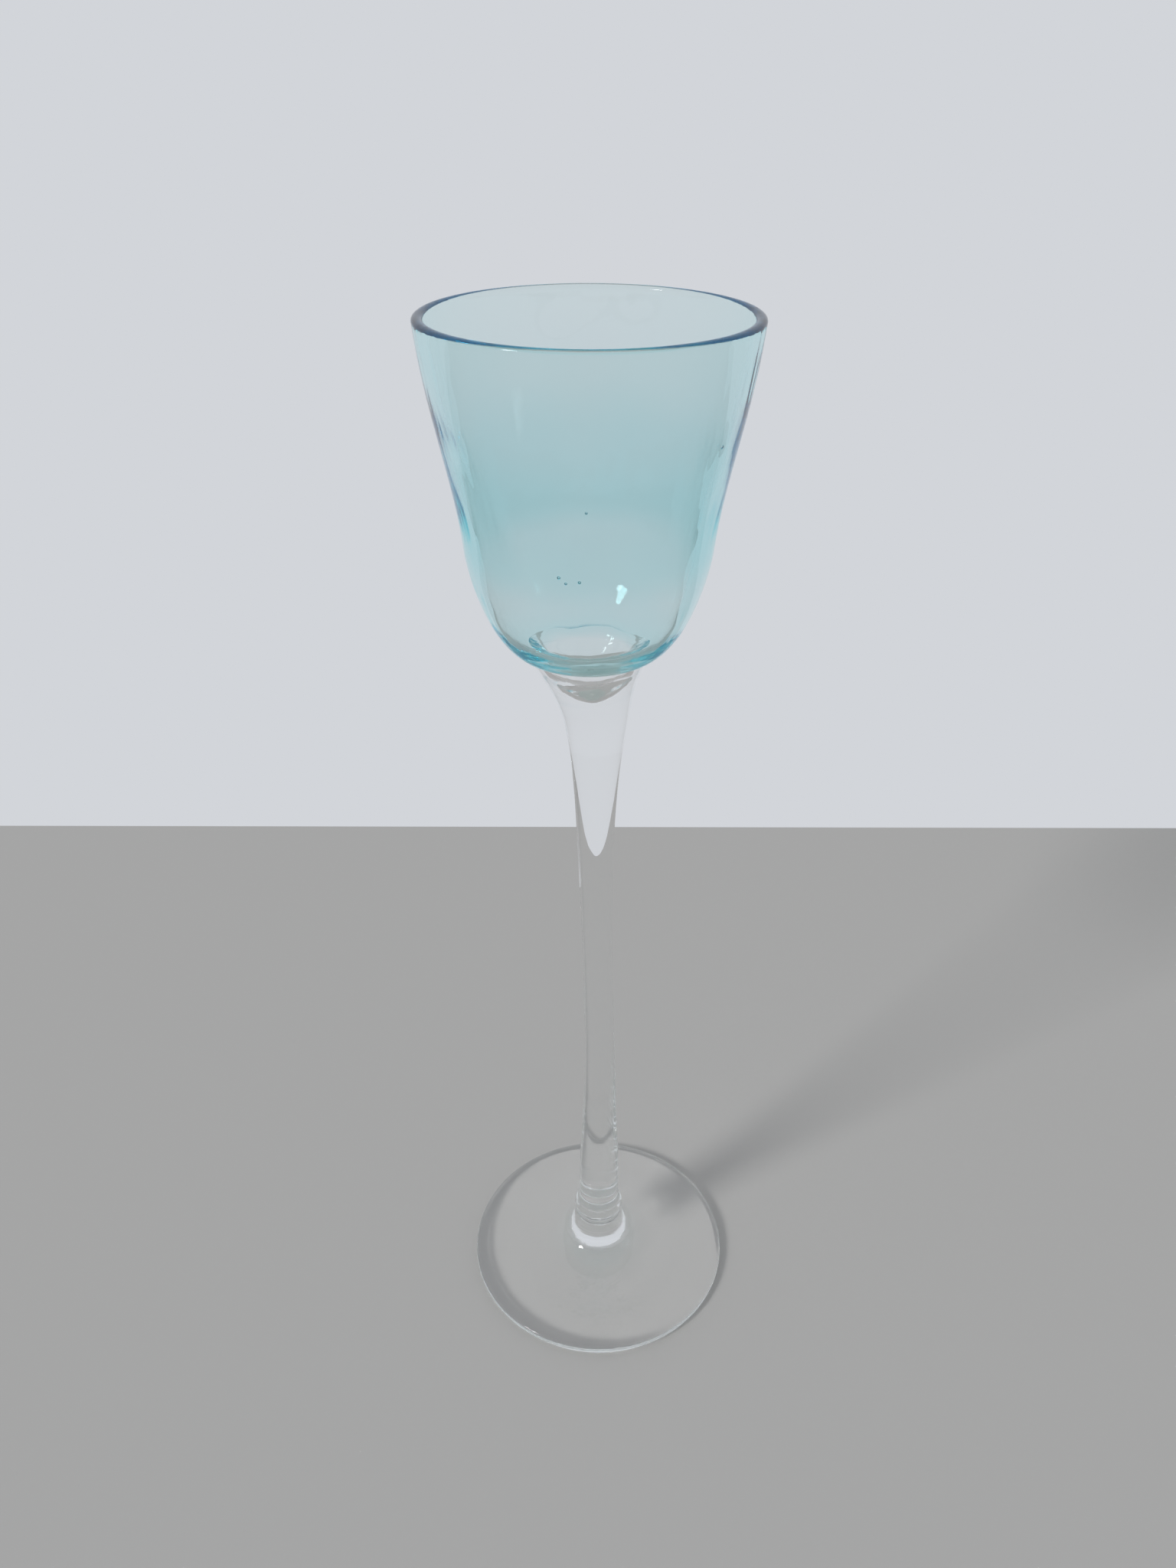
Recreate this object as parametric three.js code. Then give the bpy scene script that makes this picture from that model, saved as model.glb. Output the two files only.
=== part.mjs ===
// Tall hand-made liqueur glass: an aqua bowl, a drawn clear stem and a clear disc foot, welded end to end.
// Millimetres, +Z up. The origin lies on the table, under the middle of the foot.

import * as THREE from 'three';

// Foot: a disc with a round edge, standing on a flat ring, with a short post for the stem
const FOOT_RADIUS = 28.75;
const FOOT_EDGE_THICKNESS = 2.2;
const REST_RING_WIDTH = 6;
const HOLLOW_DEPTH = 1.2;
const CROWN_RADIUS = 9.5;
const CROWN_HEIGHT = 5.8;
const POST_RADIUS = 5.2;
const POST_HEIGHT = 13.5;

// Stem: heights are measured from the weld on the foot's post
const STEM_LENGTH = 142;
const BEAD_BULGE = 0.8;
const ANKLE_RADIUS = 4.4;
const ANKLE_HEIGHT = 6.5;
const WAIST_RADIUS = 3;
const WAIST_HEIGHT = 74;
const FLARE_RADIUS = 10.8;
const FLARE_SLOPE = 0.58;

// Sideways drift of the hand-drawn stem, towards -X: a long lean, then a short step under the bowl
const STEM_LEAN = 1.2;
const LEAN_START_HEIGHT = 36.5;
const LEAN_END_HEIGHT = 106.5;
const BOWL_STEP = 1.4;
const BOWL_STEP_SPAN = 15;

// Bowl: heights are measured from the weld on the stem's flare
const BOWL_HEIGHT = 53.75;
const RIM_RADIUS = 25.9;
const RIM_WALL = 1.75;
const LIP_ROUNDING = 0.6;
const RIM_SLOPE = 0.09;
const SHOULDER_RADIUS = 20.2;
const SHOULDER_HEIGHT = 18.8;
const SHOULDER_WALL = 2.6;
const SHOULDER_SLOPE = 0.09;
const FLOOR_THICKNESS = 3;
const FLOOR_RADIUS = 9;
const BELLY_SLOPE = 0.25;

// Pulls: how far a curve holds its end direction, as a share of that stretch's own height or width
const HOLLOW_PULL = 0.4;
const CROWN_PULL = 0.45;
const POST_PULL = 0.5;
const BEAD_PULL = 0.3;
const ANKLE_PULL = 0.46;
const LOWER_STEM_PULL = 0.3;
const WAIST_PULL_DOWN = 0.73;
const WAIST_PULL_UP = 0.81;
const FLARE_PULL = 0.11;
const BELLY_PULL = 0.55;
const SHOULDER_PULL_DOWN = 0.32;
const SHOULDER_PULL_UP = 0.35;
const RIM_PULL = 0.4;

// Facets: steps along each outline and round each turned piece, and how close two points are one
const LONG_CURVE_STEPS = 10;
const SHORT_CURVE_STEPS = 6;
const HALF_ROUND_STEPS = 6;
const WIDE_SEGMENTS = 56;
const STEM_SEGMENTS = 36;
const SAME_POINT = 1e-9;

// Glass of the two colours
const AQUA = { color: 0x9ecbd6, roughness: 0.04, metalness: 0 };
const CLEAR = { color: 0xe6eaea, roughness: 0.04, metalness: 0 };

const point = (radius, height) => new THREE.Vector2(radius, height);
const upright = (slope, reach) => point(slope * reach, reach);
const level = (reach, slope) => point(reach, slope * reach);

// A cubic curve from start to end, shaped by one handle at each end
function curve(start, startHandle, endHandle, end, steps) {
  const leaves = start.clone().add(startHandle);
  const arrives = end.clone().add(endHandle);
  return new THREE.CubicBezierCurve(start, leaves, arrives, end).getPoints(steps);
}

// Half of an ellipse, turning anticlockwise from startAngle
function halfRound(centreRadius, centreHeight, acrossRadius, uprightRadius, startAngle) {
  const round = new THREE.EllipseCurve(
    centreRadius, centreHeight, acrossRadius, uprightRadius, startAngle, startAngle + Math.PI);
  return round.getPoints(HALF_ROUND_STEPS);
}

// Strings stretches into one outline, keeping a point that two stretches share only once
function joined(...stretches) {
  const isNew = (place, i, all) => i === 0 || place.distanceTo(all[i - 1]) > SAME_POINT;
  return stretches.flat().filter(isNew);
}

// Turns an outline that starts and ends on the axis, with the axis along +Z
function turned(outline, segments) {
  return new THREE.LatheGeometry(outline, segments).rotateX(Math.PI / 2);
}

function footOutline() {
  const edgeRadius = FOOT_EDGE_THICKNESS / 2;
  const edgeCentre = FOOT_RADIUS - edgeRadius;
  const hollowTop = point(0, HOLLOW_DEPTH);
  const restInner = point(edgeCentre - REST_RING_WIDTH, 0);
  const edgeTop = point(edgeCentre, FOOT_EDGE_THICKNESS);
  const crown = point(CROWN_RADIUS, CROWN_HEIGHT);
  const postTop = point(POST_RADIUS, POST_HEIGHT);
  const discSlope = (CROWN_HEIGHT - FOOT_EDGE_THICKNESS) / (edgeCentre - CROWN_RADIUS);
  const discReach = CROWN_PULL * (edgeCentre - CROWN_RADIUS);
  const postReach = POST_PULL * (POST_HEIGHT - CROWN_HEIGHT);
  const hollowReach = HOLLOW_PULL * restInner.x;
  return joined(
    curve(hollowTop, level(hollowReach, 0), level(-hollowReach, 0), restInner, SHORT_CURVE_STEPS),
    halfRound(edgeCentre, edgeRadius, edgeRadius, edgeRadius, -Math.PI / 2),
    curve(edgeTop, level(-discReach, 0), level(discReach, -discSlope), crown, SHORT_CURVE_STEPS),
    curve(crown, level(-POST_PULL * (CROWN_RADIUS - POST_RADIUS), -discSlope), upright(0, -postReach),
      postTop, SHORT_CURVE_STEPS),
    [point(0, POST_HEIGHT)],
  );
}

function stemOutline() {
  const weld = point(POST_RADIUS, 0);
  const ankle = point(ANKLE_RADIUS, ANKLE_HEIGHT);
  const waist = point(WAIST_RADIUS, WAIST_HEIGHT);
  const flare = point(FLARE_RADIUS, STEM_LENGTH);
  const lower = WAIST_HEIGHT - ANKLE_HEIGHT;
  const upper = STEM_LENGTH - WAIST_HEIGHT;
  return joined(
    [point(0, 0)],
    curve(weld, point(BEAD_BULGE, BEAD_PULL * ANKLE_HEIGHT), upright(0, -ANKLE_PULL * ANKLE_HEIGHT),
      ankle, SHORT_CURVE_STEPS),
    curve(ankle, upright(0, LOWER_STEM_PULL * lower), upright(0, -WAIST_PULL_DOWN * lower),
      waist, LONG_CURVE_STEPS),
    curve(waist, upright(0, WAIST_PULL_UP * upper), upright(FLARE_SLOPE, -FLARE_PULL * upper),
      flare, LONG_CURVE_STEPS),
    [point(0, STEM_LENGTH)],
  );
}

// The rounded lower part of the bowl, from its bottom out and up to the shoulder
function belly(bottom, bottomSlope, shoulder) {
  const outward = level(BELLY_PULL * (shoulder.x - bottom.x), bottomSlope);
  const down = upright(SHOULDER_SLOPE, -SHOULDER_PULL_DOWN * (shoulder.y - bottom.y));
  return curve(bottom, outward, down, shoulder, LONG_CURVE_STEPS);
}

// The tapered upper part of the bowl, from the shoulder up to the lip
function wall(shoulder, lip) {
  const height = lip.y - shoulder.y;
  const up = upright(SHOULDER_SLOPE, SHOULDER_PULL_UP * height);
  const down = upright(RIM_SLOPE, -RIM_PULL * height);
  return curve(shoulder, up, down, lip, LONG_CURVE_STEPS);
}

function bowlOutline() {
  const lipHeight = BOWL_HEIGHT - LIP_ROUNDING;
  const weld = point(FLARE_RADIUS, 0);
  const shoulder = point(SHOULDER_RADIUS, SHOULDER_HEIGHT);
  const lip = point(RIM_RADIUS, lipHeight);
  const floor = point(FLOOR_RADIUS, FLOOR_THICKNESS);
  const innerShoulder = point(SHOULDER_RADIUS - SHOULDER_WALL, SHOULDER_HEIGHT);
  const innerLip = point(RIM_RADIUS - RIM_WALL, lipHeight);
  return joined(
    [point(0, 0)],
    belly(weld, BELLY_SLOPE, shoulder),
    wall(shoulder, lip),
    halfRound(RIM_RADIUS - RIM_WALL / 2, lipHeight, RIM_WALL / 2, LIP_ROUNDING, 0),
    wall(innerShoulder, innerLip).reverse(),
    belly(floor, 0, innerShoulder).reverse(),
    [point(0, FLOOR_THICKNESS)],
  );
}

// How far the stem's middle has drifted towards -X at a height above the foot's post
function drift(height) {
  const lean = THREE.MathUtils.smoothstep(height, LEAN_START_HEIGHT, LEAN_END_HEIGHT);
  const step = THREE.MathUtils.smoothstep(height, STEM_LENGTH - BOWL_STEP_SPAN, STEM_LENGTH);
  return STEM_LEAN * lean + BOWL_STEP * step;
}

// Bends a turned stem along its drifting middle; its end faces stay level
function bent(geometry) {
  const places = geometry.attributes.position;
  for (let i = 0; i < places.count; i += 1) {
    places.setX(i, places.getX(i) - drift(places.getZ(i)));
  }
  geometry.computeVertexNormals();
  return geometry;
}

function piece(name, geometry, finish, x, z) {
  const mesh = new THREE.Mesh(geometry, new THREE.MeshStandardMaterial(finish));
  mesh.name = name;
  mesh.position.set(x, 0, z);
  return mesh;
}

const footShape = turned(footOutline(), WIDE_SEGMENTS);
const stemShape = bent(turned(stemOutline(), STEM_SEGMENTS));
const bowlShape = turned(bowlOutline(), WIDE_SEGMENTS);

const glass = new THREE.Group();
glass.add(
  piece('foot', footShape, CLEAR, 0, 0),
  piece('stem', stemShape, CLEAR, 0, POST_HEIGHT),
  piece('bowl', bowlShape, AQUA, -drift(STEM_LENGTH), POST_HEIGHT + STEM_LENGTH),
);

export default glass;
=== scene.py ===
import math

import bmesh
import bpy
from mathutils import Matrix, Vector, noise
from mathutils.geometry import interpolate_bezier


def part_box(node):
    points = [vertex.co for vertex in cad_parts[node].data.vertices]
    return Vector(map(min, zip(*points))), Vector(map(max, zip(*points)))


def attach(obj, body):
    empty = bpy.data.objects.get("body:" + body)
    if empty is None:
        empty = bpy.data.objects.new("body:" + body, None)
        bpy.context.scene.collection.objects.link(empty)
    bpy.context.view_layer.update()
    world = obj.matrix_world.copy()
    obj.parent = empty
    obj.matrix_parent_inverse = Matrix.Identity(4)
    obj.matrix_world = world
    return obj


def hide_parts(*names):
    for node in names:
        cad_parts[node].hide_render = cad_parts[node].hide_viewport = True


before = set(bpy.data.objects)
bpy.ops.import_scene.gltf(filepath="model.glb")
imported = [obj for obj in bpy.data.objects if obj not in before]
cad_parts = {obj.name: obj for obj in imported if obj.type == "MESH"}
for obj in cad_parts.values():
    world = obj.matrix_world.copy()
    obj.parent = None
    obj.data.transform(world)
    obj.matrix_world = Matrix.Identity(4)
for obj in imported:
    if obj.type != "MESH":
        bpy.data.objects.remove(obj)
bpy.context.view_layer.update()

# Tall stemmed liqueur glass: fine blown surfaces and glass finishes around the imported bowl, stem and foot.
# Metres, +Z up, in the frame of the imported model.

MM = 0.001

_, foot_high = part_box("foot")
stem_low, stem_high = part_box("stem")
bowl_low, bowl_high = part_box("bowl")

# Foot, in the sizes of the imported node
FOOT_RADIUS = foot_high.x
POST_HEIGHT = foot_high.z
FOOT_EDGE_THICKNESS = 2.2 * MM
DISC_RADIUS = FOOT_RADIUS - FOOT_EDGE_THICKNESS / 2
REST_RING_WIDTH = 6 * MM
HOLLOW_DEPTH = 1.2 * MM
CROWN_RADIUS = 9.5 * MM
CROWN_HEIGHT = 5.8 * MM
POST_RADIUS = 5.2 * MM

# Stem, with heights from the weld on the foot's post
STEM_LENGTH = stem_high.z - stem_low.z
FLARE_RADIUS = stem_high.y
FLARE_SLOPE = 0.58
BEAD_BULGE = 0.8 * MM
ANKLE_RADIUS = 4.4 * MM
ANKLE_HEIGHT = 6.5 * MM
WAIST_RADIUS = 3 * MM
WAIST_HEIGHT = 74 * MM

# Sideways drift of the stem towards -X
BOWL_AXIS_X = (bowl_low.x + bowl_high.x) / 2
STEM_LEAN = 1.2 * MM
BOWL_STEP = -BOWL_AXIS_X - STEM_LEAN
LEAN_START_HEIGHT = 36.5 * MM
LEAN_END_HEIGHT = 106.5 * MM
BOWL_STEP_SPAN = 15 * MM

# Bowl, with heights from the weld on the stem's flare
BOWL_BASE = POST_HEIGHT + STEM_LENGTH
BOWL_HEIGHT = bowl_high.z - BOWL_BASE
RIM_RADIUS = (bowl_high.x - bowl_low.x) / 2
RIM_WALL = 1.75 * MM
LIP_ROUNDING = 0.6 * MM
RIM_SLOPE = 0.09
SHOULDER_RADIUS = 20.2 * MM
SHOULDER_HEIGHT = 18.8 * MM
SHOULDER_WALL = 2.6 * MM
SHOULDER_SLOPE = 0.09
BELLY_SLOPE = 0.25
THROAT_EDGE_RADIUS = 10.35 * MM
THROAT_EDGE_HEIGHT = 2.7 * MM
THROAT_EDGE_SLOPE = 0.23
THROAT_RADIUS = 7.1 * MM
THROAT_SLOPE = 0.33
FUNNEL_DEPTH = 7.8 * MM

# Hand-made unevenness inside the bowl: upright ribs, level rolls and fine dimples.
# The ribs' twist is in radians per metre of height, and the rolls' sway in radians.
RIB_COUNT = 10
RIB_DEPTH = 0.1 * MM
RIB_TWIST = 9
RIB_SWELL = 26 * MM
RIB_SWELL_SHARE = 0.4
RIB_SWELL_WAVES = 2
ROLL_DEPTH = 0.05 * MM
ROLL_SPACING = 13 * MM
ROLL_SWAY = 0.8
ROLL_SWAY_WAVES = 3
ROLL_SWAY_START = 0.6
DIMPLE_DEPTH = 0.03 * MM
DIMPLE_SPACING = 3 * MM
DIMPLE_TOP = 22 * MM
RIPPLE_START = 3 * MM
RIPPLE_FULL = 12 * MM
RIPPLE_FADE = 40 * MM

# Drawn streaks round the stem, coarse and fine ones that twist against each other
COARSE_STREAKS = 3
FINE_STREAKS = 7
FINE_STREAK_SHARE = 0.6
FINE_STREAK_TWIST = 0.5
STREAK_DEPTH = 0.035 * MM
STREAK_FADE = 12 * MM
HEIGHT_PER_RADIAN = 30 * MM

# Turned rings on top of the foot
RING_DEPTH = 0.04 * MM
RING_SPACING = 5.5 * MM

# Seeds, small bubbles in the bowl's wall: angle round the bowl, height above the weld and radius
SEEDS = [
    (math.radians(-34), 38 * MM, 0.3 * MM),
    (math.radians(-91), 31 * MM, 0.2 * MM),
    (math.radians(-103), 20.4 * MM, 0.26 * MM),
    (math.radians(-100), 19.5 * MM, 0.22 * MM),
    (math.radians(-94), 19.8 * MM, 0.24 * MM),
]
SEED_SEGMENTS = 16
SEED_RINGS = 10

# Pulls: how far a curve holds its end direction, as a share of that stretch's own height or width
HOLLOW_PULL = 0.4
CROWN_PULL = 0.45
POST_PULL = 0.5
BEAD_PULL = 0.3
ANKLE_PULL = 0.46
LOWER_STEM_PULL = 0.3
WAIST_PULL_DOWN = 0.73
WAIST_PULL_UP = 0.81
FLARE_PULL = 0.11
BELLY_PULL = 0.55
SHOULDER_PULL_DOWN = 0.32
SHOULDER_PULL_UP = 0.35
RIM_PULL = 0.4
INNER_SHOULDER_PULL = 0.68
INNER_BELLY_PULL = 0.4
THROAT_PULL = 0.37
FUNNEL_PULL = 0.44
FUNNEL_TIP_PULL = 0.21

# Mesh fineness
FLARE_CURVE_STEPS = 120
LONG_CURVE_STEPS = 60
SHORT_CURVE_STEPS = 24
HALF_ROUND_STEPS = 16
WIDE_SEGMENTS = 180
STEM_SEGMENTS = 96
SAME_PLACE = 0.001 * MM

# Each welded face stands back by half of the gap, so that no two faces lie in one plane
WELD_GAP = 0.02 * MM
WELD_INSET = WELD_GAP / 2

# Kinds of surface along an outline
WELD = "weld"
OUTSIDE = "outside"
INSIDE = "inside"
RIPPLED = "rippled"
STREAKED = "streaked"
RINGED = "ringed"

# Camera, solved from the ellipses of the rim and the foot.
# The sensor's size, in millimetres, goes with the image's height.
IMAGE_HEIGHT = 2048
FOCAL_PIXELS = 1554.2
SENSOR_SIZE = 36
CLIP_START = 10 * MM
CAMERA_PLACE = Vector((-2.65 * MM, -183.5 * MM, 242.14 * MM))
CAMERA_PITCH = math.radians(31.79)
CAMERA_ROLL = math.radians(0.117)

# Floor, backdrop and a ceiling that leans over the front
FLOOR_DROP = 0.05 * MM
FLOOR_THICKNESS = 30 * MM
FLOOR_WIDTH = 4000 * MM
FLOOR_FRONT = -2000 * MM
FLOOR_BACK = 177.5 * MM
FLOOR_COLOUR = (0.46, 0.45, 0.433, 1)
BACKDROP_COLOUR = (0.645, 0.665, 0.70, 1)
CEILING_COLOUR = (0.45, 0.47, 0.5, 1)
CEILING_TILT = math.radians(30)
CEILING_EDGE = math.radians(60)
CEILING_CORE = math.radians(35)

# Two lamps in one direction, given from the glass towards them
LAMP_DIRECTION = Vector((-0.687, -0.5, 0.53))
KEY_ANGLE = math.radians(14)
KEY_STRENGTH = 1.6
ACCENT_ANGLE = math.radians(10)
ACCENT_STRENGTH = 0.6

# Glass. Densities are per metre, and a weld bends no light.
GLASS_IOR = 1.5
WELD_IOR = 1
WHITE = (1, 1, 1, 1)
AQUA_ABSORPTION = (0.27, 0.902, 0.943, 1)
AQUA_DENSITY = 88
CLEAR_ABSORPTION = (0.9, 0.96, 0.95, 1)
CLEAR_DENSITY = 10

# Cords, faint streaks of uneven glass, with one spread for the bowl and one for the stem and foot
CORD_DEPTH = 0.03 * MM
CORD_STRETCH = 9
BOWL_CORD_SPREAD = 2.2 * MM
STEM_CORD_SPREAD = 1.4 * MM

# Tint of the bowl's surfaces by height above the weld
TINT_STOPS = [
    (-5.5 * MM, WHITE),
    (2.5 * MM, (0.99, 0.99, 0.99, 1)),
    (7.5 * MM, (1, 0.968, 0.962, 1)),
    (13.5 * MM, (1, 0.95, 0.946, 1)),
    (20.5 * MM, (0.858, 0.93, 0.933, 1)),
    (30.5 * MM, (0.858, 0.928, 0.932, 1)),
    (40.5 * MM, (0.942, 0.947, 0.948, 1)),
    (53.7 * MM, (0.965, 0.972, 0.965, 1)),
]

# Light that runs along the wall turns many times before it leaves the glass
LIGHT_BOUNCES = 160


def point(radius, height):
    """A place on an outline."""
    return Vector((radius, height))


def upright(slope, reach):
    """A curve's handle that rises by its reach and moves out by its slope."""
    return Vector((slope * reach, reach))


def level(reach, slope):
    """A curve's handle that moves out by its reach and rises by its slope."""
    return Vector((reach, slope * reach))


def curve(start, start_handle, end_handle, end, steps):
    """A Bezier curve whose handles are given from its ends."""
    return interpolate_bezier(start, start + start_handle, end + end_handle, end, steps + 1)


def half_round(centre, across, tall, start_angle):
    """Half a turn round a centre, with its half width and half height."""
    angles = [start_angle + math.pi * step / HALF_ROUND_STEPS for step in range(HALF_ROUND_STEPS + 1)]
    return [centre + Vector((across * math.cos(angle), tall * math.sin(angle))) for angle in angles]


def surface(kind, *stretches):
    """Stretches of an outline, each with its kind of surface."""
    return [(stretch, kind) for stretch in stretches]


def joined(stretches):
    """The places of one outline with their kinds, and the kind of each band between two places."""
    places, bands = [], []
    for stretch, kind in stretches:
        for place in stretch:
            if not places:
                places.append((place, kind))
            elif (place - places[-1][0]).length > SAME_PLACE:
                places.append((place, kind))
                bands.append(kind)
    return places, bands


def smoothstep(value, low, high):
    """Rises softly from 0 at low to 1 at high."""
    share = min(max((value - low) / (high - low), 0), 1)
    return share * share * (3 - 2 * share)


def foot_outline():
    hollow_top = point(0, HOLLOW_DEPTH)
    rest_inner = point(DISC_RADIUS - REST_RING_WIDTH, 0)
    edge_low = point(DISC_RADIUS - WELD_INSET, 0)
    edge_top = point(edge_low.x, FOOT_EDGE_THICKNESS)
    crown = point(CROWN_RADIUS, CROWN_HEIGHT)
    post_top = point(POST_RADIUS, POST_HEIGHT - WELD_INSET)
    disc_slope = (CROWN_HEIGHT - FOOT_EDGE_THICKNESS) / (DISC_RADIUS - CROWN_RADIUS)
    disc_reach = CROWN_PULL * (DISC_RADIUS - CROWN_RADIUS)
    post_reach = POST_PULL * (POST_HEIGHT - CROWN_HEIGHT)
    crown_handle = level(-POST_PULL * (CROWN_RADIUS - POST_RADIUS), -disc_slope)
    hollow_reach = HOLLOW_PULL * rest_inner.x
    underside = surface(
        OUTSIDE,
        curve(hollow_top, level(hollow_reach, 0), level(-hollow_reach, 0), rest_inner, SHORT_CURVE_STEPS),
        [rest_inner, edge_low],
    )
    top = curve(edge_top, level(-disc_reach, 0), level(disc_reach, -disc_slope), crown, LONG_CURVE_STEPS)
    post = curve(crown, crown_handle, upright(0, -post_reach), post_top, SHORT_CURVE_STEPS)
    edge_weld = surface(WELD, [edge_low, edge_top])
    post_weld = surface(WELD, [post_top, point(0, post_top.y)])
    return joined(underside + edge_weld + surface(RINGED, top) + surface(OUTSIDE, post) + post_weld)


def foot_edge_outline():
    """The round bead along the edge of the foot's disc."""
    radius = FOOT_EDGE_THICKNESS / 2
    bead = half_round(point(DISC_RADIUS, radius), radius, radius, -math.pi / 2)
    inset = point(WELD_INSET, 0)
    low = bead[0] + inset
    top = bead[-1] + inset
    return joined(surface(OUTSIDE, [low], bead[1:-1], [top]) + surface(WELD, [top, low]))


def stem_outline():
    foot_end = point(POST_RADIUS, WELD_INSET)
    ankle = point(ANKLE_RADIUS, ANKLE_HEIGHT)
    waist = point(WAIST_RADIUS, WAIST_HEIGHT)
    flare = point(FLARE_RADIUS, STEM_LENGTH - WELD_INSET)
    lower = WAIST_HEIGHT - ANKLE_HEIGHT
    upper = STEM_LENGTH - WAIST_HEIGHT
    bead = point(BEAD_BULGE, BEAD_PULL * ANKLE_HEIGHT)
    outside = surface(
        STREAKED,
        curve(foot_end, bead, upright(0, -ANKLE_PULL * ANKLE_HEIGHT), ankle, SHORT_CURVE_STEPS),
        curve(ankle, upright(0, LOWER_STEM_PULL * lower), upright(0, -WAIST_PULL_DOWN * lower),
              waist, LONG_CURVE_STEPS),
        curve(waist, upright(0, WAIST_PULL_UP * upper), upright(FLARE_SLOPE, -FLARE_PULL * upper),
              flare, FLARE_CURVE_STEPS),
    )
    throat = point(THROAT_RADIUS, flare.y)
    post_weld = surface(WELD, [point(0, foot_end.y), foot_end])
    bowl_weld = surface(WELD, [flare, throat])
    return joined(post_weld + outside + bowl_weld + surface(INSIDE, funnel(throat)))


def belly(bottom, shoulder):
    """The round outside of the lower bowl."""
    outward = level(BELLY_PULL * (shoulder.x - bottom.x), BELLY_SLOPE)
    down = upright(SHOULDER_SLOPE, -SHOULDER_PULL_DOWN * (shoulder.y - bottom.y))
    return curve(bottom, outward, down, shoulder, LONG_CURVE_STEPS)


def wall(shoulder, lip):
    """The upper bowl, outside or inside."""
    height = lip.y - shoulder.y
    up = upright(SHOULDER_SLOPE, SHOULDER_PULL_UP * height)
    down = upright(RIM_SLOPE, -RIM_PULL * height)
    return curve(shoulder, up, down, lip, LONG_CURVE_STEPS)


def funnel(throat):
    """The pointed end of the bowl's hollow, in the stem's flare, from the throat down to its tip."""
    down = upright(THROAT_SLOPE, -FUNNEL_PULL * FUNNEL_DEPTH)
    across = level(FUNNEL_TIP_PULL * THROAT_RADIUS, 0)
    return curve(throat, down, across, point(0, throat.y - FUNNEL_DEPTH), LONG_CURVE_STEPS)


def hollow_belly(shoulder, throat):
    """The lower hollow of the bowl: a round belly, then a soft edge that turns down into the throat."""
    edge = point(THROAT_EDGE_RADIUS, THROAT_EDGE_HEIGHT)
    turn = (edge - throat).length
    down = upright(SHOULDER_SLOPE, -INNER_SHOULDER_PULL * (shoulder.y - edge.y))
    outward = level(INNER_BELLY_PULL * (shoulder.x - edge.x), THROAT_EDGE_SLOPE)
    inward = level(-1, THROAT_EDGE_SLOPE).normalized() * THROAT_PULL * turn
    up = upright(THROAT_SLOPE, 1).normalized() * THROAT_PULL * turn
    round_belly = curve(shoulder, down, outward, edge, LONG_CURVE_STEPS)
    soft_edge = curve(edge, inward, up, throat, SHORT_CURVE_STEPS)
    return round_belly + soft_edge


def bowl_outline():
    lip_height = BOWL_HEIGHT - LIP_ROUNDING
    edge = point(FLARE_RADIUS, WELD_INSET)
    shoulder = point(SHOULDER_RADIUS, SHOULDER_HEIGHT)
    lip = point(RIM_RADIUS, lip_height)
    inner_shoulder = point(SHOULDER_RADIUS - SHOULDER_WALL, SHOULDER_HEIGHT)
    inner_lip = point(RIM_RADIUS - RIM_WALL, lip_height)
    lip_centre = point(RIM_RADIUS - RIM_WALL / 2, lip_height)
    throat = point(THROAT_RADIUS, edge.y)
    outside = surface(
        OUTSIDE,
        belly(edge, shoulder),
        wall(shoulder, lip),
        half_round(lip_centre, RIM_WALL / 2, LIP_ROUNDING, 0),
    )
    inside = surface(RIPPLED, wall(inner_shoulder, inner_lip)[::-1], hollow_belly(inner_shoulder, throat))
    return joined(surface(WELD, [throat, edge]) + outside + inside)


def around(axis_x, radius, angle, height):
    """The place at an angle round an upright axis."""
    return Vector((axis_x + radius * math.cos(angle), radius * math.sin(angle), height))


def turned(name, outline, segments, placed):
    """A closed body of revolution; placed(place, kind, angle) gives where a point of the outline goes.

    An outline that starts on the axis ends there too; any other one closes on its own start."""
    places, bands = outline
    is_loop = places[0][0].x > 0
    if is_loop:
        places = places[:-1]
    points, rings = [], []
    for place, kind in places:
        count = segments if place.x > 0 else 1
        rings.append(range(len(points), len(points) + count))
        points += [placed(place, kind, 2 * math.pi * step / segments) for step in range(count)]
    upper_rings = rings[1:] + rings[:1] if is_loop else rings[1:]
    faces, face_kinds = [], []
    for low, high, kind in zip(rings, upper_rings, bands):
        for step in range(segments):
            corners = [low[step % len(low)], low[(step + 1) % len(low)],
                       high[(step + 1) % len(high)], high[step % len(high)]]
            faces.append(list(dict.fromkeys(corners)))
            face_kinds.append(kind)
    mesh = bpy.data.meshes.new(name)
    mesh.from_pydata(points, [], faces)
    mesh.update()
    mesh.shade_smooth()
    mark_welds(mesh, face_kinds)
    piece = bpy.data.objects.new(name, mesh)
    bpy.context.scene.collection.objects.link(piece)
    return piece


def mark_welds(mesh, face_kinds):
    """Marks the weld faces, and makes the edges round them sharp."""
    attribute = mesh.attributes.new("weld", "FLOAT", "FACE")
    sides = {}
    for face, kind in zip(mesh.polygons, face_kinds):
        is_weld = kind == WELD
        attribute.data[face.index].value = 1 if is_weld else 0
        for key in face.edge_keys:
            sides.setdefault(key, set()).add(is_weld)
    for edge in mesh.edges:
        edge.use_edge_sharp = len(sides[edge.key]) == 2


def drift(height):
    """How far the middle has moved towards -X at a height above the foot's post."""
    lean = smoothstep(height, LEAN_START_HEIGHT, LEAN_END_HEIGHT)
    step = smoothstep(height, STEM_LENGTH - BOWL_STEP_SPAN, STEM_LENGTH)
    return STEM_LEAN * lean + BOWL_STEP * step


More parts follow.
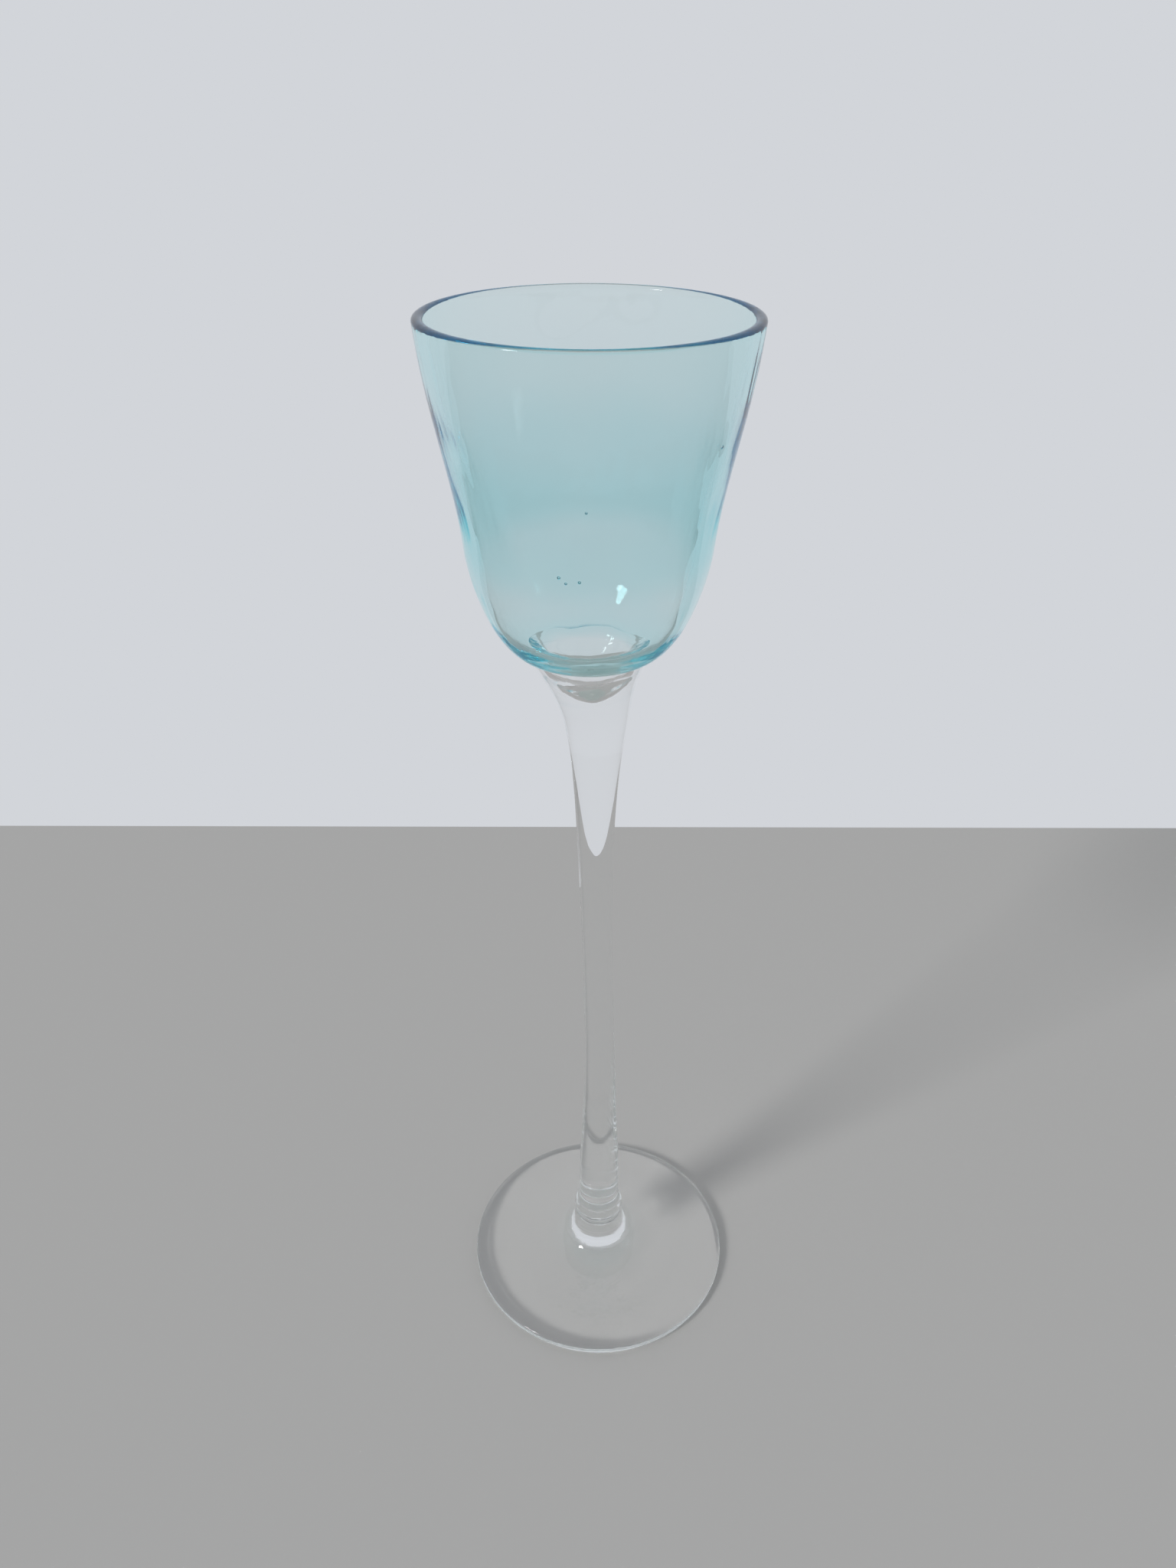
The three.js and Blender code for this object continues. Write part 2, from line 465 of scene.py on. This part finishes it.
def ripple(height, angle):
    """How far the blown inside of the bowl stands out from its smooth shape."""
    top = BOWL_HEIGHT - LIP_ROUNDING
    fade = smoothstep(height, RIPPLE_START, RIPPLE_FULL) * (1 - smoothstep(height, RIPPLE_FADE, top))
    wave = math.sin(2 * math.pi * height / RIB_SWELL + RIB_SWELL_WAVES * angle)
    swell = 1 - RIB_SWELL_SHARE + RIB_SWELL_SHARE * wave
    ribs = RIB_DEPTH * swell * math.cos(RIB_COUNT * (angle + RIB_TWIST * height))
    sway = ROLL_SWAY * math.cos(ROLL_SWAY_WAVES * angle + ROLL_SWAY_START)
    rolls = ROLL_DEPTH * math.sin(2 * math.pi * height / ROLL_SPACING + sway)
    return fade * (ribs + rolls) + dimple(height, angle)


def dimple(height, angle):
    """How far the fine dimples of the lower hollow stand out."""
    fade = smoothstep(height, RIPPLE_START, RIPPLE_FULL) * (1 - smoothstep(height, RIPPLE_FULL, DIMPLE_TOP))
    place = around(0, SHOULDER_RADIUS, angle, height)
    return fade * DIMPLE_DEPTH * noise.noise(place / DIMPLE_SPACING)


def streak(height, angle):
    """How far the drawn stem stands out of round at a height above the foot's post."""
    fade = smoothstep(height, 0, STREAK_FADE)
    fade *= 1 - smoothstep(height, STEM_LENGTH - STREAK_FADE, STEM_LENGTH)
    twist = height / HEIGHT_PER_RADIAN
    coarse = math.cos(COARSE_STREAKS * angle + twist)
    fine = FINE_STREAK_SHARE * math.cos(FINE_STREAKS * angle - FINE_STREAK_TWIST * twist)
    return fade * STREAK_DEPTH * (coarse + fine)


def ring_mark(radius):
    """How far the tool's rings stand up on the foot, fading to its edge and to its crown."""
    fade = smoothstep(radius, CROWN_RADIUS, CROWN_RADIUS + RING_SPACING)
    fade *= 1 - smoothstep(radius, DISC_RADIUS - RING_SPACING, DISC_RADIUS)
    return fade * RING_DEPTH * math.cos(2 * math.pi * (DISC_RADIUS - radius) / RING_SPACING)


def make_foot():
    def placed(place, kind, angle):
        rise = ring_mark(place.x) if kind == RINGED else 0
        return around(0, place.x, angle, place.y + rise)

    foot = turned("foot_glass", foot_outline(), WIDE_SEGMENTS, placed)
    # The clear disc lets the key light through, and the bead along its edge casts the shadow
    foot.visible_shadow = False
    return foot


def make_foot_edge():
    def placed(place, kind, angle):
        return around(0, place.x, angle, place.y)

    return turned("foot_edge_glass", foot_edge_outline(), WIDE_SEGMENTS, placed)


def make_stem():
    def placed(place, kind, angle):
        radius = place.x + (streak(place.y, angle) if kind == STREAKED else 0)
        return around(-drift(place.y), radius, angle, POST_HEIGHT + place.y)

    return turned("stem_glass", stem_outline(), STEM_SEGMENTS, placed)


def make_bowl():
    def placed(place, kind, angle):
        radius = place.x + (ripple(place.y, angle) if kind == RIPPLED else 0)
        return around(BOWL_AXIS_X, radius, angle, BOWL_BASE + place.y)

    return turned("bowl_glass", bowl_outline(), WIDE_SEGMENTS, placed)


def add_seeds(bowl):
    """Small round bubbles half way through the bowl's wall, with their faces turned inwards."""
    shape = bmesh.new()
    shape.from_mesh(bowl.data)
    for angle, height, radius in SEEDS:
        share = (height - SHOULDER_HEIGHT) / (BOWL_HEIGHT - SHOULDER_HEIGHT)
        outside = SHOULDER_RADIUS + share * (RIM_RADIUS - SHOULDER_RADIUS)
        thickness = SHOULDER_WALL + share * (RIM_WALL - SHOULDER_WALL)
        place = around(BOWL_AXIS_X, outside - thickness / 2, angle, BOWL_BASE + height)
        seed = bmesh.ops.create_uvsphere(
            shape, u_segments=SEED_SEGMENTS, v_segments=SEED_RINGS, radius=radius,
            matrix=Matrix.Translation(place))
        faces = list(dict.fromkeys(face for corner in seed["verts"] for face in corner.link_faces))
        bmesh.ops.reverse_faces(shape, faces=faces)
        for face in faces:
            face.smooth = True
    shape.to_mesh(bowl.data)
    shape.free()


def add_tint(material):
    """Colours the glass by its height: strongest half way up, paler to the rim and to the bottom."""
    nodes, links = material.node_tree.nodes, material.node_tree.links
    where = nodes.new("ShaderNodeTexCoord")
    parts = nodes.new("ShaderNodeSeparateXYZ")
    rise = nodes.new("ShaderNodeMapRange")
    low, low_colour = TINT_STOPS[0]
    high, high_colour = TINT_STOPS[-1]
    rise.inputs["From Min"].default_value = BOWL_BASE + low
    rise.inputs["From Max"].default_value = BOWL_BASE + high
    ramp = nodes.new("ShaderNodeValToRGB")
    ramp.color_ramp.interpolation = "EASE"
    stops = ramp.color_ramp.elements
    stops[0].color = low_colour
    stops[-1].color = high_colour
    for height, colour in TINT_STOPS[1:-1]:
        stops.new((height - low) / (high - low)).color = colour
    links.new(where.outputs["Object"], parts.inputs["Vector"])
    links.new(parts.outputs["Z"], rise.inputs["Value"])
    links.new(rise.outputs["Result"], ramp.inputs["Fac"])
    links.new(ramp.outputs["Color"], nodes["Principled BSDF"].inputs["Base Color"])


def add_cords(material, spread):
    """Draws the cords as a very low relief that is stretched upwards."""
    nodes, links = material.node_tree.nodes, material.node_tree.links
    where = nodes.new("ShaderNodeTexCoord")
    stretch = nodes.new("ShaderNodeMapping")
    stretch.inputs["Scale"].default_value = (1 / spread, 1 / spread, 1 / (CORD_STRETCH * spread))
    cords = nodes.new("ShaderNodeTexNoise")
    cords.inputs["Scale"].default_value = 1
    cords.inputs["Detail"].default_value = 1
    relief = nodes.new("ShaderNodeBump")
    relief.inputs["Strength"].default_value = 1
    relief.inputs["Distance"].default_value = CORD_DEPTH
    links.new(where.outputs["Object"], stretch.inputs["Vector"])
    links.new(stretch.outputs["Vector"], cords.inputs["Vector"])
    links.new(cords.outputs["Fac"], relief.inputs["Height"])
    links.new(relief.outputs["Normal"], nodes["Principled BSDF"].inputs["Normal"])


def glass_material(name, absorption_colour, absorption_density):
    """Smooth glass, coloured in its depth, that lets light straight through its welds."""
    material = bpy.data.materials.new(name)
    material.use_nodes = True
    nodes, links = material.node_tree.nodes, material.node_tree.links
    shader = nodes["Principled BSDF"]
    shader.inputs["Base Color"].default_value = WHITE
    shader.inputs["Roughness"].default_value = 0
    shader.inputs["Transmission Weight"].default_value = 1
    weld_mark = nodes.new("ShaderNodeAttribute")
    weld_mark.attribute_name = "weld"
    index = nodes.new("ShaderNodeMapRange")
    index.inputs["To Min"].default_value = GLASS_IOR
    index.inputs["To Max"].default_value = WELD_IOR
    links.new(weld_mark.outputs["Fac"], index.inputs["Value"])
    links.new(index.outputs["Result"], shader.inputs["IOR"])
    absorption = nodes.new("ShaderNodeVolumeAbsorption")
    absorption.inputs["Color"].default_value = absorption_colour
    absorption.inputs["Density"].default_value = absorption_density
    links.new(absorption.outputs["Volume"], nodes["Material Output"].inputs["Volume"])
    return material


def finish_piece(piece, node, material):
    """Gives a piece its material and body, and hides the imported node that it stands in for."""
    piece.data.materials.append(material)
    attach(piece, "root")
    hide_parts(node)


def make_camera():
    """A camera that looks along +Y and down, with a slight roll."""
    camera = bpy.data.objects.new("camera", bpy.data.cameras.new("camera"))
    camera.data.sensor_width = SENSOR_SIZE
    camera.data.lens = FOCAL_PIXELS / IMAGE_HEIGHT * SENSOR_SIZE
    camera.data.clip_start = CLIP_START
    camera.location = CAMERA_PLACE
    tilt = Matrix.Rotation(math.pi / 2 - CAMERA_PITCH, 3, "X")
    camera.rotation_euler = (tilt @ Matrix.Rotation(CAMERA_ROLL, 3, "Z")).to_euler()
    bpy.context.scene.collection.objects.link(camera)
    bpy.context.scene.camera = camera


def make_floor():
    """A plain matt slab just under the foot."""
    size = Vector((FLOOR_WIDTH, FLOOR_BACK - FLOOR_FRONT, FLOOR_THICKNESS))
    middle = Vector((0, (FLOOR_FRONT + FLOOR_BACK) / 2, -FLOOR_DROP - FLOOR_THICKNESS / 2))
    shape = bmesh.new()
    bmesh.ops.create_cube(shape, size=1, matrix=Matrix.LocRotScale(middle, None, size))
    mesh = bpy.data.meshes.new("floor")
    shape.to_mesh(mesh)
    shape.free()
    floor = bpy.data.objects.new("floor", mesh)
    bpy.context.scene.collection.objects.link(floor)
    material = bpy.data.materials.new("floor")
    material.use_nodes = True
    shader = material.node_tree.nodes["Principled BSDF"]
    shader.inputs["Base Color"].default_value = FLOOR_COLOUR
    shader.inputs["Roughness"].default_value = 1
    shader.inputs["Specular IOR Level"].default_value = 0
    mesh.materials.append(material)


def make_world():
    """A pale backdrop all round, with a darker ceiling that leans over the front."""
    world = bpy.data.worlds.new("studio")
    bpy.context.scene.world = world
    world.use_nodes = True
    nodes, links = world.node_tree.nodes, world.node_tree.links
    where = nodes.new("ShaderNodeTexCoord")
    nearness = nodes.new("ShaderNodeVectorMath")
    nearness.operation = "DOT_PRODUCT"
    nearness.inputs[1].default_value = (0, -math.sin(CEILING_TILT), math.cos(CEILING_TILT))
    fade = nodes.new("ShaderNodeMapRange")
    fade.interpolation_type = "SMOOTHSTEP"
    fade.inputs["From Min"].default_value = math.cos(CEILING_EDGE)
    fade.inputs["From Max"].default_value = math.cos(CEILING_CORE)
    mix = nodes.new("ShaderNodeMix")
    mix.data_type = "RGBA"
    mix.inputs["A"].default_value = BACKDROP_COLOUR
    mix.inputs["B"].default_value = CEILING_COLOUR
    links.new(where.outputs["Generated"], nearness.inputs[0])
    links.new(nearness.outputs["Value"], fade.inputs["Value"])
    links.new(fade.outputs["Result"], mix.inputs["Factor"])
    links.new(mix.outputs["Result"], nodes["Background"].inputs["Color"])


def sun_lamp(name, angle, strength):
    """A far lamp that looks as wide as its angle."""
    lamp = bpy.data.lights.new(name, "SUN")
    lamp.angle = angle
    lamp.energy = strength
    sun = bpy.data.objects.new(name, lamp)
    sun.rotation_euler = LAMP_DIRECTION.to_track_quat("Z", "Y").to_euler()
    bpy.context.scene.collection.objects.link(sun)
    return sun


def make_lamps():
    """A key that lights the floor past the glass, and a small accent that only shows as glints."""
    key = sun_lamp("key_light", KEY_ANGLE, KEY_STRENGTH)
    key.visible_glossy = False
    key.visible_transmission = False
    accent = sun_lamp("accent_light", ACCENT_ANGLE, ACCENT_STRENGTH)
    accent.visible_diffuse = False


def set_render_options():
    scene = bpy.context.scene
    scene.view_settings.view_transform = "Standard"
    scene.cycles.blur_glossy = 0
    scene.cycles.max_bounces = LIGHT_BOUNCES
    scene.cycles.glossy_bounces = LIGHT_BOUNCES
    scene.cycles.transmission_bounces = LIGHT_BOUNCES


aqua = glass_material("aqua_glass", AQUA_ABSORPTION, AQUA_DENSITY)
add_tint(aqua)
add_cords(aqua, BOWL_CORD_SPREAD)
clear = glass_material("clear_glass", CLEAR_ABSORPTION, CLEAR_DENSITY)
add_cords(clear, STEM_CORD_SPREAD)

bowl = make_bowl()
add_seeds(bowl)
finish_piece(bowl, "bowl", aqua)
finish_piece(make_stem(), "stem", clear)
finish_piece(make_foot(), "foot", clear)
finish_piece(make_foot_edge(), "foot", clear)

make_floor()
make_world()
make_lamps()
make_camera()
set_render_options()
